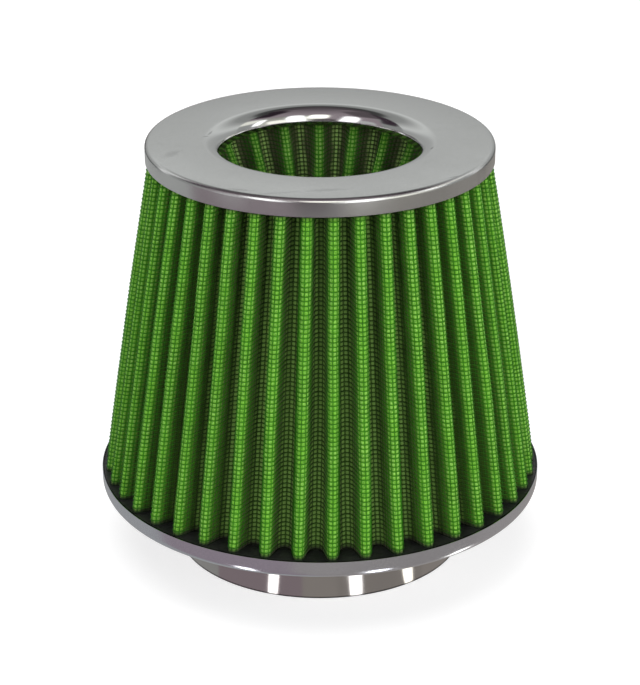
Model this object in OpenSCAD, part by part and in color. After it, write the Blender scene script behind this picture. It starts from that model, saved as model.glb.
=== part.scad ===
// Open-mouth conical air filter: an outer pleated cone and an inverted inner cone,
// potted into a pressed top cap and a base pan that is drawn down into a clamp neck.
// Millimetres. The origin is the centre of the neck's lower end, and +Z points up to the mouth.

/* [Overall] */
// Height from the neck's lower end to the flat face of the cap
overall_h = 145.5; // [130:0.5:170]
// Thickness of the pressed and plated steel
steel_t = 0.6; // [0.4:0.05:0.9]

/* [Top cap] */
// Outside diameter of the cap
cap_d = 116; // [115:0.5:124]
// Height of the cap's turned-down rim
cap_rim_h = 5.9; // [5:0.1:10]
// Outside radius of the bend between the cap's face and its rim
cap_edge_r = 1.5; // [1:0.1:2.5]
// Width of the cap's ring, from its outside to the clear mouth inside the curled lip
cap_ring_w = 25.2; // [23.5:0.1:28]

/* [Base pan] */
// Outside diameter of the pan
pan_d = 152.2; // [140:0.2:170]
// Height of the pan's upright band
pan_h = 6.4; // [5.5:0.1:12]
// Outside radius of the pan's lower corner
pan_corner_r = 3; // [1.5:0.1:3.2]
// Outside diameter of the clamp neck
neck_d = 100; // [76:0.5:104]
// Length of the neck below the pan's floor
neck_len = 21.8; // [15:0.1:35]
// Radius of the bend between the pan's floor and the neck, on its outside
neck_bend_r = 2; // [1:0.1:4]

/* [Outer pack] */
// Number of folds round the outer cone
outer_pleats = 42; // [36:1:46]
// Depth of the outer pleats
outer_depth = 9.8; // [8.5:0.1:9.9]
// Inside radius of the outer valleys at the foot
outer_foot_valley_r = 2.2; // [1.5:0.1:2.5]
// Inside radius of the outer valleys at the head
outer_head_valley_r = 1.2; // [0.8:0.1:1.3]
// Turn of the outer pack's head against its foot, in degrees
outer_lean = 1.3; // [-3:0.1:3]
// Turn of the outer pack's feet round the axis, in degrees
outer_phase = 3.1; // [0:0.1:8]

/* [Inner cone] */
// Number of folds round the inverted cone
inner_pleats = 20; // [16:1:21]
// Depth of the inner pleats where the cone is widest
inner_head_depth = 6.8; // [6.2:0.1:6.9]
// Depth of the inner pleats at the dish
inner_foot_depth = 10.5; // [8:0.1:14]
// Inside radius of the inner valleys where the cone is widest
inner_head_valley_r = 3.6; // [3:0.1:3.8]
// Inside radius of the inner valleys at the dish
inner_foot_valley_r = 0.8; // [0.5:0.1:0.9]
// Diameter across the fold tips at the cone's foot
cone_foot_d = 33; // [32:0.5:44]
// Depth from the cap's face to the underside of the dish
cone_depth = 60; // [45:0.5:85]
// Turn of the inner pack round the axis, in degrees
inner_phase = 0.5; // [-9:0.1:9]

/* [Dish] */
// Height of the dish that closes the cone
dish_h = 5; // [4:0.1:8]
// Outside radius of the dish's lower corner
dish_corner_r = 2; // [1:0.1:2.1]

/* [Pleated sheet] */
// Outside radius of each fold at its tip
fold_r = 2.1; // [2:0.05:2.2]
// Thickness of each woven wire screen
screen_t = 0.4; // [0.3:0.05:0.45]
// Thickness of the gauze between the screens
gauze_t = 0.9; // [0.7:0.05:1]

/* [Potting] */
// Drop of the resin below the steel edge that holds it
resin_drop = 0.3; // [0.2:0.05:0.8]
// Length of the pleats that is sunk in the resin
embed = 1.6; // [1:0.1:2]
// Clearance between the fold tips and the steel round them
tip_clearance = 0.2; // [0.15:0.05:0.3]
// Gap between the two packs at their heads
pack_gap = 0.4; // [0.3:0.05:1]
// Width of the resin past the pleats, inside the base pan
resin_ledge = 4; // [2:0.5:6]

/* [Seam strips] */
// Thickness of the strip that closes the joined fold of each pack
strip_t = 0.4; // [0.3:0.05:0.5]
// Clearance between a strip and the fold inside it
strip_clearance = 0.05; // [0.03:0.01:0.1]
// Angle by which each edge of a strip stops short of the end of the fold's arc
strip_edge_angle = 3; // [1:0.5:8]

/* [Hidden] */
$fn = 96;

// Radii of the pressings
cap_r = cap_d / 2;
cap_in_r = cap_r - steel_t;
mouth_r = cap_r - cap_ring_w;
pan_r = pan_d / 2;
pan_in_r = pan_r - steel_t;
neck_r = neck_d / 2;
neck_bend_mid_r = neck_r + neck_bend_r;

// Heights, from the neck's lower end up
rim_z = overall_h - cap_rim_h;
cap_under_z = overall_h - steel_t;
brim_z = neck_len + pan_h;
pan_floor_z = neck_len + steel_t;
base_resin_z = brim_z - resin_drop;
top_resin_z = rim_z + resin_drop;
lip_r = overall_h - top_resin_z;
lip_mid_r = mouth_r + lip_r;
dish_z = overall_h - cone_depth;
dish_floor_z = dish_z + steel_t;
dish_brim_z = dish_z + dish_h;
dish_resin_z = dish_brim_z - resin_drop;
head_z = top_resin_z + embed;
outer_foot_z = base_resin_z - embed;
inner_foot_z = dish_resin_z - embed;

// Sheet of gauze between two screens, and the offsets of its four surfaces from its front
sheet_t = 2 * screen_t + gauze_t;
FRONT = 0;
GAUZE_FRONT = screen_t;
GAUZE_BACK = screen_t + gauze_t;
BACK = sheet_t;
// Points on the fold at a tip and on the fold at a root, for each of those surfaces
FRONT_POINTS = [5, 3];
GAUZE_FRONT_POINTS = [3, 3];
GAUZE_BACK_POINTS = [3, 3];
BACK_POINTS = [1, 3];
STRIP_POINTS = 3;

// Radius across the tips of the outer pack at height z, from the pan up to the cap
foot_tip_r = pan_in_r - tip_clearance;
rim_tip_r = cap_in_r - tip_clearance;
outer_slope = (rim_tip_r - foot_tip_r) / (rim_z - outer_foot_z);
function outer_tip_r(z) = foot_tip_r + outer_slope * (z - outer_foot_z);
function outer_root_r(z) = outer_tip_r(z) - outer_depth;

// Radii of the inner cone: its tips point at the axis and its roots away from it
cone_head_root_r = outer_root_r(head_z) - pack_gap;
cone_head_tip_r = cone_head_root_r - inner_head_depth;
cone_foot_tip_r = cone_foot_d / 2;
cone_foot_root_r = cone_foot_tip_r + inner_foot_depth;
function along_cone(z) = (z - inner_foot_z) / (head_z - inner_foot_z);
function cone_root_r(z) = cone_foot_root_r + (cone_head_root_r - cone_foot_root_r) * along_cone(z);
dish_in_r = cone_root_r(dish_brim_z) + tip_clearance;
dish_r = dish_in_r + steel_t;

// Angles of a tip at the foot and at the head of each pack, from the X axis
outer_angles = [outer_phase - 90, outer_phase + outer_lean - 90];
inner_angles = [90 + inner_phase, 90 + inner_phase];
OUTWARD = 1;
INWARD = -1;

// A level of a pack: [height, tip radius, root radius, angle of the first tip, valley radius]
outer_levels = [
    [
        outer_foot_z, outer_tip_r(outer_foot_z), outer_root_r(outer_foot_z),
        outer_angles[0], outer_foot_valley_r
    ],
    [
        head_z, outer_tip_r(head_z), outer_root_r(head_z),
        outer_angles[1], outer_head_valley_r
    ]
];
inner_levels = [
    [inner_foot_z, cone_foot_tip_r, cone_foot_root_r, inner_angles[0], inner_foot_valley_r],
    [head_z, cone_head_tip_r, cone_head_root_r, inner_angles[1], inner_head_valley_r]
];

function level_at(levels, z) =
    levels[0] + (levels[1] - levels[0]) * (z - levels[0][0]) / (levels[1][0] - levels[0][0]);

// Folded outline of a pleated sheet
// One pleat is an arc round its tip and a wider arc round its valley, with the straight flank
// between them tangent to both. side is OUTWARD where the tips point away from the axis.

function turned(p, a) = [p[0] * cos(a) - p[1] * sin(a), p[0] * sin(a) + p[1] * cos(a)];

function fold_arc(centre_r, r, side, half_angle, points) = [
    for (i = [0 : points - 1])
        let (a = points == 1 ? 0 : half_angle * (2 * i / (points - 1) - 1))
        [centre_r + side * r * cos(a), r * sin(a)]
];

function tip_mid_r(level, side) = level[1] - side * fold_r;
function root_mid_r(level, side) = level[2] + side * (level[4] + sheet_t);

// Half angles of the arc round a tip and of the arc round a valley
function fold_angles(level, pleats, side) =
    let (
        half_pitch = 180 / pleats,
        root_r = root_mid_r(level, side),
        across = root_r * sin(half_pitch),
        deep = side * (tip_mid_r(level, side) - root_r * cos(half_pitch)),
        lean = asin((fold_r + level[4]) / norm([across, deep])),
        tip_angle = 90 - atan2(across, deep) + lean
    )
    [tip_angle, tip_angle - side * half_pitch];

function pleat_outline(level, pleats, side, offset, points) =
    let (
        angles = fold_angles(level, pleats, side),
        tip = fold_arc(tip_mid_r(level, side), fold_r - offset, side, angles[0], points[0]),
        root = fold_arc(root_mid_r(level, side), level[4] + offset, -side, angles[1], points[1])
    )
    concat(tip, [for (p = root) turned(p, 180 / pleats)]);

function pack_outline(level, pleats, side, offset, points) =
    let (pleat = pleat_outline(level, pleats, side, offset, points))
    [
        for (i = [0 : pleats - 1])
            for (p = pleat)
                let (q = turned(p, level[3] + i * 360 / pleats))
                [q[0], q[1], level[0]]
    ];

// Triangles of a flat band between two arcs of m and n points, which start at a and b
function band(a, m, b, n) =
    let (meets = [for (i = [0 : m - 2]) floor((i + 0.5) * n / (m - 1))])
    concat(
        [for (i = [0 : m - 2]) [a + i, a + i + 1, b + meets[i]]],
        [
            for (j = [0 : 1 : n - 2])
                let (i = len([for (k = meets) if (k <= j) k]))
                [b + j + 1, b + j, a + i]
        ]
    );

// Triangles of the strip from point i to the next point of a loop of n, between two loops
function strip(a, b, i, n) =
    let (j = (i + 1) % n)
    [[a + i, a + j, b + j], [a + i, b + j, b + i]];

function flipped(faces) = [for (f = faces) [f[2], f[1], f[0]]];

// Level face between two outlines of one height
function level_face(a, b, pleats, points_a, points_b) =
    let (
        m = points_a[0] + points_a[1],
        n = points_b[0] + points_b[1]
    )
    [
        for (i = [0 : pleats - 1])
            let (
                tip_a = a + i * m,
                tip_b = b + i * n,
                root_a = tip_a + points_a[0],
                root_b = tip_b + points_b[0],
                next_a = a + ((i + 1) % pleats) * m,
                next_b = b + ((i + 1) % pleats) * n,
                flanks = [
                    [root_a - 1, root_a, root_b], [root_a - 1, root_b, root_b - 1],
                    [root_a + points_a[1] - 1, next_a, next_b],
                    [root_a + points_a[1] - 1, next_b, root_b + points_b[1] - 1]
                ]
            )
            each concat(
                band(tip_a, points_a[0], tip_b, points_b[0]),
                band(root_a, points_a[1], root_b, points_b[1]),
                flanks
            )
    ];

// Solid between two of a pleated sheet's surfaces, from its foot to its head
module pleated_layer(levels, pleats, side, near, near_points, far, far_points) {
    m = pleats * (near_points[0] + near_points[1]);
    n = pleats * (far_points[0] + far_points[1]);
    points = concat(
        pack_outline(levels[0], pleats, side, near, near_points),
        pack_outline(levels[1], pleats, side, near, near_points),
        pack_outline(levels[0], pleats, side, far, far_points),
        pack_outline(levels[1], pleats, side, far, far_points)
    );
    near_wall = [for (i = [0 : m - 1]) each strip(0, m, i, m)];
    far_wall = [for (i = [0 : n - 1]) each strip(2 * m, 2 * m + n, i, n)];
    foot = level_face(0, 2 * m, pleats, near_points, far_points);
    head = level_face(m, 2 * m + n, pleats, near_points, far_points);
    faces = concat(near_wall, flipped(far_wall), flipped(foot), head);
    polyhedron(points, side == OUTWARD ? flipped(faces) : faces, convexity = 10);
}

module outer_layer(near, near_points, far, far_points)
    pleated_layer(outer_levels, outer_pleats, OUTWARD, near, near_points, far, far_points);

module inner_layer(near, near_points, far, far_points)
    pleated_layer(inner_levels, inner_pleats, INWARD, near, near_points, far, far_points);

// Sections of the pressings, drawn with the radius along X and the height along Y

module bend(mid, outer_r, wall, quadrant) {
    intersection() {
        translate(mid)
            difference() {
                circle(outer_r);
                circle(outer_r - wall);
            }
        translate([
            mid[0] + min(0, quadrant[0]) * outer_r,
            mid[1] + min(0, quadrant[1]) * outer_r
        ])
            square(outer_r);
    }
}

module block(low, high)
    translate(low) square([high[0] - low[0], high[1] - low[1]]);

module cup_section(r, z, h, corner_r) {
    block([r - steel_t, z + corner_r], [r, z + h]);
    bend([r - corner_r, z + corner_r], corner_r, steel_t, [1, -1]);
}

module cap_section() {
    block([cap_in_r, rim_z], [cap_r, overall_h - cap_edge_r]);
    bend([cap_r - cap_edge_r, overall_h - cap_edge_r], cap_edge_r, steel_t, [1, 1]);
    block([lip_mid_r, cap_under_z], [cap_r - cap_edge_r, overall_h]);
    bend([lip_mid_r, top_resin_z], lip_r, steel_t, [-1, 1]);
    block([mouth_r, rim_z], [mouth_r + steel_t, top_resin_z]);
}

module pan_section() {
    cup_section(pan_r, neck_len, pan_h, pan_corner_r);
    block([neck_bend_mid_r, neck_len], [pan_r - pan_corner_r, pan_floor_z]);
    bend([neck_bend_mid_r, neck_len - neck_bend_r], neck_bend_r + steel_t, steel_t, [-1, 1]);
    block([neck_r - steel_t, 0], [neck_r, neck_len - neck_bend_r]);
}

module dish_section() {
    cup_section(dish_r, dish_z, dish_h, dish_corner_r);
    block([0, dish_z], [dish_r - dish_corner_r, dish_floor_z]);
}

// Filled section of a cup's inside, up to the resin's level
module cup_filling(r, floor_z, corner_r, low_r, level_z) {
    inner_corner_r = corner_r - steel_t;
    block([low_r, floor_z], [r - inner_corner_r, level_z]);
    block([low_r, floor_z + inner_corner_r], [r, level_z]);
    intersection() {
        translate([r - inner_corner_r, floor_z + inner_corner_r]) circle(inner_corner_r);
        block([r - inner_corner_r, floor_z], [r, level_z]);
    }
}

module cap_filling() {
    edge_in_r = cap_edge_r - steel_t;
    block([lip_mid_r, top_resin_z], [cap_in_r - edge_in_r, cap_under_z]);
    block([lip_mid_r, top_resin_z], [cap_in_r, cap_under_z - edge_in_r]);
    translate([cap_in_r - edge_in_r, cap_under_z - edge_in_r]) circle(edge_in_r);
    intersection() {
        translate([lip_mid_r, top_resin_z]) circle(lip_r - steel_t);
        block([mouth_r, top_resin_z], [lip_mid_r, cap_under_z]);
    }
}

// Strip bonded along one valley fold on the clean side of a pack, between two heights
module seam_strip(levels, pleats, side, low_z, high_z) {
    turn = 180 / pleats + round(pleats / 2) * 360 / pleats;
    near = BACK + strip_clearance;
    points = [
        for (level = [level_at(levels, low_z), level_at(levels, high_z)])
            for (offset = [near, near + strip_t])
                let (half_span = fold_angles(level, pleats, side)[1] - strip_edge_angle)
                for (p = fold_arc(
                    root_mid_r(level, side), level[4] + offset, -side, half_span, STRIP_POINTS
                ))
                    let (q = turned(p, level[3] + turn))
                    [q[0], q[1], level[0]]
    ];
    far = STRIP_POINTS;
    above = 2 * STRIP_POINTS;
    last = STRIP_POINTS - 1;
    walls = [
        for (i = [0 : last - 1])
            each [
                [i, i + 1, above + i + 1], [i, above + i + 1, above + i],
                [far + i + 1, far + i, above + far + i],
                [far + i + 1, above + far + i, above + far + i + 1],
                [i + 1, i, far + i], [i + 1, far + i, far + i + 1],
                [above + i, above + i + 1, above + far + i + 1],
                [above + i, above + far + i + 1, above + far + i]
            ]
    ];
    edges = [
        [far, 0, above], [far, above, above + far],
        [last, far + last, above + far + last], [last, above + far + last, above + last]
    ];
    faces = concat(walls, edges);
    polyhedron(points, side == OUTWARD ? flipped(faces) : faces, convexity = 4);
}

module top_cap() color([0.68, 0.68, 0.70]) rotate_extrude() cap_section();

module top_resin() color([0.05, 0.05, 0.05])
    difference() {
        rotate_extrude() cap_filling();
        outer_layer(FRONT, FRONT_POINTS, BACK, BACK_POINTS);
        inner_layer(FRONT, FRONT_POINTS, BACK, BACK_POINTS);
    }

module outer_screen() color([0.35, 0.55, 0.25])
    outer_layer(FRONT, FRONT_POINTS, GAUZE_FRONT, GAUZE_FRONT_POINTS);

module outer_gauze() color([0.30, 0.75, 0.15])
    outer_layer(GAUZE_FRONT, GAUZE_FRONT_POINTS, GAUZE_BACK, GAUZE_BACK_POINTS);

module outer_back_screen() color([0.60, 0.62, 0.60])
    outer_layer(GAUZE_BACK, GAUZE_BACK_POINTS, BACK, BACK_POINTS);

module outer_seam_strip() color([0.72, 0.72, 0.72])
    seam_strip(outer_levels, outer_pleats, OUTWARD, base_resin_z, top_resin_z);

module inner_screen() color([0.35, 0.55, 0.25])
    inner_layer(FRONT, FRONT_POINTS, GAUZE_FRONT, GAUZE_FRONT_POINTS);

module inner_gauze() color([0.30, 0.75, 0.15])
    inner_layer(GAUZE_FRONT, GAUZE_FRONT_POINTS, GAUZE_BACK, GAUZE_BACK_POINTS);

module inner_back_screen() color([0.60, 0.62, 0.60])
    inner_layer(GAUZE_BACK, GAUZE_BACK_POINTS, BACK, BACK_POINTS);

module inner_seam_strip() color([0.72, 0.72, 0.72])
    seam_strip(inner_levels, inner_pleats, INWARD, dish_resin_z, top_resin_z);

module cone_dish() color([0.66, 0.66, 0.68]) rotate_extrude() dish_section();

module dish_resin() color([0.05, 0.05, 0.05])
    difference() {
        rotate_extrude() cup_filling(dish_in_r, dish_floor_z, dish_corner_r, 0, dish_resin_z);
        inner_layer(FRONT, FRONT_POINTS, BACK, BACK_POINTS);
    }

module base_resin() color([0.05, 0.05, 0.05])
    difference() {
        rotate_extrude()
            cup_filling(
                pan_in_r, pan_floor_z, pan_corner_r,
                outer_root_r(outer_foot_z) - resin_ledge, base_resin_z
            );
        outer_layer(FRONT, FRONT_POINTS, BACK, BACK_POINTS);
    }

module base_pan() color([0.64, 0.64, 0.66]) rotate_extrude() pan_section();

top_cap();
top_resin();
outer_screen();
outer_gauze();
outer_back_screen();
outer_seam_strip();
inner_screen();
inner_gauze();
inner_back_screen();
inner_seam_strip();
cone_dish();
dish_resin();
base_resin();
base_pan();
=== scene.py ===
"""Cone air filter: wire screens, oiled gauze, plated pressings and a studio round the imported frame."""

import math
from functools import partialmethod
from typing import NamedTuple

import bpy
import numpy as np
from bpy.props import FloatProperty, FloatVectorProperty, IntProperty, PointerProperty
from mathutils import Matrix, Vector


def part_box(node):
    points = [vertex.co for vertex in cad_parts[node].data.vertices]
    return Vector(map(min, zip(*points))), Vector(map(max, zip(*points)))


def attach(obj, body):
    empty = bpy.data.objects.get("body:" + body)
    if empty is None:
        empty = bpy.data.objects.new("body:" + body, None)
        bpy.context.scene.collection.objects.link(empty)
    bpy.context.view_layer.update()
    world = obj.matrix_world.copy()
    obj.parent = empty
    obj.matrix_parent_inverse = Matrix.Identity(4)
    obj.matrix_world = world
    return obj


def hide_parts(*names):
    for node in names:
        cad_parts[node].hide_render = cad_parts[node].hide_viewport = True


bl_info = {
    "name": "Cone Air Filter",
    "version": (1, 0, 0),
    "blender": (4, 5, 0),
    "location": "3D View > Sidebar > Air Filter",
    "description": "Builds the screens, gauze, pressings and studio of a cone air filter",
    "category": "Object",
}

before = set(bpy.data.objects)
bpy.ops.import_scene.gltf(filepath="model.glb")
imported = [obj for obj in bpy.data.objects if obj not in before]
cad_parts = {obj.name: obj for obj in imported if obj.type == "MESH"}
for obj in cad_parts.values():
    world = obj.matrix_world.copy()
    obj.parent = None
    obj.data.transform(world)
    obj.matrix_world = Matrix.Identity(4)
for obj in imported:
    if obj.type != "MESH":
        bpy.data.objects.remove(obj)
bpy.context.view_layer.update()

# Lengths below are in millimetres, as in the part's source, and meshes are scaled by MM.
MM = 0.001
BODY = "root"


def box_mm(node):
    """Lowest and highest corners of a CAD node, in millimetres."""
    return [np.array(corner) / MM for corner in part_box(node)]


# Steel pressings
STEEL = 0.6
CAP_R, _, TOP_Z = box_mm("top_cap")[1]
CAP_RIM_H = 5.9
RIM_Z = TOP_Z - CAP_RIM_H
CAP_EDGE_R = 1.5
MOUTH_R = 32.8
LIP_R = 5.6
PAN_R, _, BRIM_Z = box_mm("base_pan")[1]
PAN_FLOOR_Z = 21.8
PAN_CORNER_R = 3.0
NECK_R = 50.0
NECK_BEND_R = 2.0

# Folded sheets: one screen, the gauze and the backing screen, from the front surface inwards
FOLD_R = 2.1
SCREEN_T = 0.4
GAUZE_T = 0.9
SHEET_T = 2 * SCREEN_T + GAUZE_T
TIP_CLEARANCE = 0.2
OUTER_PLEATS = 42
OUTER_DEPTH = 9.8
OUTER_TURN = (-86.9, -85.6)
OUTER_VALLEY_R = (2.2, 1.2)
INNER_PLEATS = 20
INNER_TURN = (90.5, 90.5)
INNER_VALLEY_R = (0.8, 3.6)
INNER_HEAD_DEPTH = 6.8
INNER_FOOT_TIP_R = 16.5
INNER_FOOT_ROOT_R = 27.0
PACK_GAP = 0.4
OUTWARD = 1
INWARD = -1

# Points of a fold: round its tip, along a flank and round a valley
GAUZE_COUNTS = (7, 1, 6)
BACK_COUNTS = (4, 0, 6)
FINE_COUNTS = (24, 1, 16)

# Height between the gauze's rows of points, and number of a backing screen's rows
OUTER_GAUZE_STEP, INNER_GAUZE_STEP = 3.0, 2.5
BACK_ROWS = 24

# Sides of a round wire's tube, in radii behind the front surface and upwards, and its faint waves
TUBE_SIDES = ((0, 0), (1, 1), (2, 0), (1, -1))
WAVE_HEIGHTS = (0.02, 0.06)
WAVE_COUNTS = (5, 40)

# Upright wires: gap to a pack's ends, and depth behind the front surface, in wire radii
UPRIGHT_END_GAP = 0.2
UPRIGHT_DEPTH = 2.8

LATHE_STEPS = 288
BEND_STEPS = 12

# Angles in degrees above which an edge is drawn sharp
SHEET_SHARP, STEEL_SHARP = 50, 40


class FilterSheetSettings(bpy.types.PropertyGroup):
    """Sizes and colours of the folded sheets."""

    wire_pitch: FloatProperty(
        name="Wire pitch", description="Distance between neighbouring wires of a screen",
        default=1.48 * MM, min=0.8 * MM, max=3 * MM, precision=5, unit="LENGTH")
    wire_diameter: FloatProperty(
        name="Wire diameter", description="Diameter of one wire of a screen",
        default=0.32 * MM, min=0.2 * MM, max=0.36 * MM, precision=5, unit="LENGTH")
    uneven: FloatProperty(
        name="Unevenness", description="How far a fold wanders from its even place",
        default=0.22 * MM, min=0, max=0.35 * MM, precision=5, unit="LENGTH")
    bulge: FloatProperty(
        name="Bulge", description="How far the outer folds stand out at half height",
        default=0.35 * MM, min=0, max=0.5 * MM, precision=5, unit="LENGTH")
    seed: IntProperty(
        name="Seed", description="Picks another set of small uneven places", default=11, min=0)
    wire_colour: FloatVectorProperty(
        name="Wire colour", description="Colour of the front screens' wires",
        default=(0.036, 0.19, 0.008), min=0, max=1, subtype="COLOR")
    gauze_colour: FloatVectorProperty(
        name="Gauze colour", description="Colour of the oiled gauze",
        default=(0.20, 0.625, 0.020), min=0, max=1, subtype="COLOR")


class FilterMetalSettings(bpy.types.PropertyGroup):
    """Finish of the plated pressings."""

    cap_colour: FloatVectorProperty(
        name="Cap colour", description="Colour of the cap's plating",
        default=(0.62, 0.625, 0.62), min=0, max=1, subtype="COLOR")
    pan_colour: FloatVectorProperty(
        name="Pan colour", description="Colour of the base pan's plating",
        default=(0.75, 0.76, 0.825), min=0, max=1, subtype="COLOR")
    neck_colour: FloatVectorProperty(
        name="Neck colour", description="Colour of the polished neck",
        default=(0.565, 0.54, 0.53), min=0, max=1, subtype="COLOR")
    satin: FloatProperty(
        name="Satin roughness", description="Roughness of the cap's face and rim",
        default=0.22, min=0.1, max=0.7, subtype="FACTOR")
    band_satin: FloatProperty(
        name="Band roughness", description="Roughness of the pan's band",
        default=0.2, min=0.1, max=0.7, subtype="FACTOR")
    polish: FloatProperty(
        name="Polished roughness", description="Roughness of the lip and the neck",
        default=0.10, min=0.02, max=0.4, subtype="FACTOR")


class FilterStageSettings(bpy.types.PropertyGroup):
    """Light levels of the studio."""

    window_power: FloatProperty(
        name="Window lamps", description="Power of each tall lamp in front",
        default=10.3, min=0, max=100, unit="POWER")
    fill_power: FloatProperty(
        name="Fill lamps", description="Power of each wide lamp behind",
        default=6, min=0, max=100, unit="POWER")
    overhead_power: FloatProperty(
        name="Overhead lamp", description="Power of the wide lamp above",
        default=23, min=0, max=100, unit="POWER")
    ambient: FloatProperty(
        name="Ambient", description="Level of the even light from all round",
        default=0.25, min=0, max=1, subtype="FACTOR")


# --- Folded outlines ---


def eased(x):
    """A share from nought to one, with a soft start and end."""
    return x * x * (3 - 2 * x)


def turned(points, angle):
    """Points in a plane, turned round the axis by an angle in radians."""
    c, s = math.cos(angle), math.sin(angle)
    return np.column_stack((points[:, 0] * c - points[:, 1] * s, points[:, 0] * s + points[:, 1] * c))


def raised(points, z):
    """Points in a plane, lifted to a height."""
    return np.column_stack((points, np.full(len(points), z)))


def arc(middle, radius, side, half_angle, count):
    """Points of an arc round a point on the X axis, open towards or away from the origin."""
    a = np.linspace(-half_angle, half_angle, count)
    return np.column_stack((middle + side * radius * np.cos(a), radius * np.sin(a)))


def between(a, b, count):
    """Points spread evenly between two points, without the two."""
    share = np.linspace(0, 1, count + 2)[1:-1, None]
    return a * (1 - share) + b * share


class Pack:
    """One folded sheet from its foot to its head: every surface and wire of it is found from here.

    foot and head are (height, radius across the tips, radius across the roots, turn in degrees,
    inside radius of the valleys)."""

    LEVELS = 6
    STEADY, WAVING = 0.7, 0.45  # parts of a fold's wander that keep, and that change, with the height
    TURNING = 1.6               # how much further it wanders sideways than in and out
    ROW_MARGIN = 0.3

    def __init__(self, foot, head, pleats, side, uneven, bulge, seed):
        self.foot, self.head = np.array(foot, float), np.array(head, float)
        self.pleats, self.side, self.bulge = pleats, side, bulge
        draw = np.random.default_rng(seed)
        stations = 2 * pleats
        fade = np.sin(np.linspace(0, math.pi, self.LEVELS))[:, None] ** 0.7

        def wander():
            steady = draw.uniform(-1, 1, (1, stations))
            waving = draw.uniform(-1, 1, (self.LEVELS, stations))
            return (self.STEADY * steady + self.WAVING * waving) * fade

        self.radial = wander() * uneven
        self.turning = wander() * uneven * self.TURNING / head[1]

    def level(self, z):
        """Radii across the tips, roots and inside the valleys, turn in radians, and share of the height."""
        share = (z - self.foot[0]) / (self.head[0] - self.foot[0])
        _, tip_r, root_r, turn, valley_r = self.foot * (1 - share) + self.head * share
        return tip_r, root_r, valley_r, math.radians(turn), share

    def fold(self, z, offset, counts):
        """One fold in its own place, from the start of its tip's arc to the start of the next."""
        tip_r, root_r, valley_r, _, _ = self.level(z)
        side, half_pitch = self.side, math.pi / self.pleats
        tip_middle = tip_r - side * FOLD_R
        root_middle = root_r + side * (valley_r + SHEET_T)
        across = root_middle * math.sin(half_pitch)
        deep = side * (tip_middle - root_middle * math.cos(half_pitch))
        lean = math.asin((FOLD_R + valley_r) / math.hypot(across, deep))
        tip_angle = math.pi / 2 - math.atan2(across, deep) + lean
        root_angle = tip_angle - side * half_pitch
        tip_count, flank_count, root_count = counts
        tip = arc(tip_middle, FOLD_R - offset, side, tip_angle, tip_count)
        root = turned(arc(root_middle, valley_r + offset, -side, root_angle, root_count), half_pitch)
        next_tip = turned(tip[:1], 2 * half_pitch)[0]
        return np.concatenate((
            tip, between(tip[-1], root[0], flank_count),
            root, between(root[-1], next_tip, flank_count)))

    def spread(self, fold, z):
        """Copies points of one fold to every fold, and lets them wander."""
        _, _, _, turn, share = self.level(z)
        share = min(max(share, 0), 1)
        pitch = 2 * math.pi / self.pleats
        flat = np.concatenate([turned(fold, turn + i * pitch) for i in range(self.pleats)])
        radius, theta = np.hypot(flat[:, 0], flat[:, 1]), np.arctan2(flat[:, 1], flat[:, 0])
        station = (theta - turn) / (pitch / 2)
        low = np.floor(station).astype(int)
        ease = eased(station - low)
        first, second = low % (2 * self.pleats), (low + 1) % (2 * self.pleats)
        place = share * (self.LEVELS - 1)
        row = min(int(place), self.LEVELS - 2)
        rise = eased(place - row)

        def moved(table):
            line = table[row] * (1 - rise) + table[row + 1] * rise
            return line[first] * (1 - ease) + line[second] * ease

        radius = radius + moved(self.radial) + self.bulge * math.sin(math.pi * share)
        theta = theta + moved(self.turning)
        return np.column_stack((radius * np.cos(theta), radius * np.sin(theta)))

    def outline(self, z, offset, counts):
        """Closed line round the whole pack at one height, at an offset behind the front surface."""
        return raised(self.spread(self.fold(z, offset, counts), z), z)

    def heights(self, pitch):
        """Heights of rows that are a pitch apart along the sloping fold."""
        rise = self.head[0] - self.foot[0]
        step = pitch / (math.hypot(rise, self.head[1] - self.foot[1]) / rise)
        return np.arange(self.foot[0] + self.ROW_MARGIN, self.head[0] - self.ROW_MARGIN, step)

    def run(self, z, offset, counts):
        """Points of one fold, and the length along it up to each of them and over the whole fold."""
        fold = self.fold(z, offset, counts)
        fold = np.concatenate((fold, turned(fold[:1], 2 * math.pi / self.pleats)))
        return fold, np.concatenate(([0], np.cumsum(np.hypot(*np.diff(fold, axis=0).T))))

    def middle_run(self):
        """Lengths along the gauze's front on one fold, half-way up."""
        return self.run((self.foot[0] + self.head[0]) / 2, SCREEN_T, FINE_COUNTS)[1]

    def wires_per_fold(self, pitch):
        """Number of upright wires across one fold."""
        return max(int(round(self.middle_run()[-1] / pitch)), 4)

    def tip_share(self):
        """Share of a fold's length from its start to the middle of its tip."""
        run = self.middle_run()
        return run[FINE_COUNTS[0] - 1] / 2 / run[-1]


def outer_pack(sheet):
    """The outer folds, whose tips run in a straight line from inside the pan to inside the cap."""
    foot_z, head_z = (corner[2] for corner in box_mm("outer_screen"))
    foot_r, rim_r = PAN_R - STEEL - TIP_CLEARANCE, CAP_R - STEEL - TIP_CLEARANCE
    head_r = foot_r + (rim_r - foot_r) * (head_z - foot_z) / (RIM_Z - foot_z)
    return Pack(
        (foot_z, foot_r, foot_r - OUTER_DEPTH, OUTER_TURN[0], OUTER_VALLEY_R[0]),
        (head_z, head_r, head_r - OUTER_DEPTH, OUTER_TURN[1], OUTER_VALLEY_R[1]),
        OUTER_PLEATS, OUTWARD, sheet.uneven / MM, sheet.bulge / MM, sheet.seed)


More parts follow.
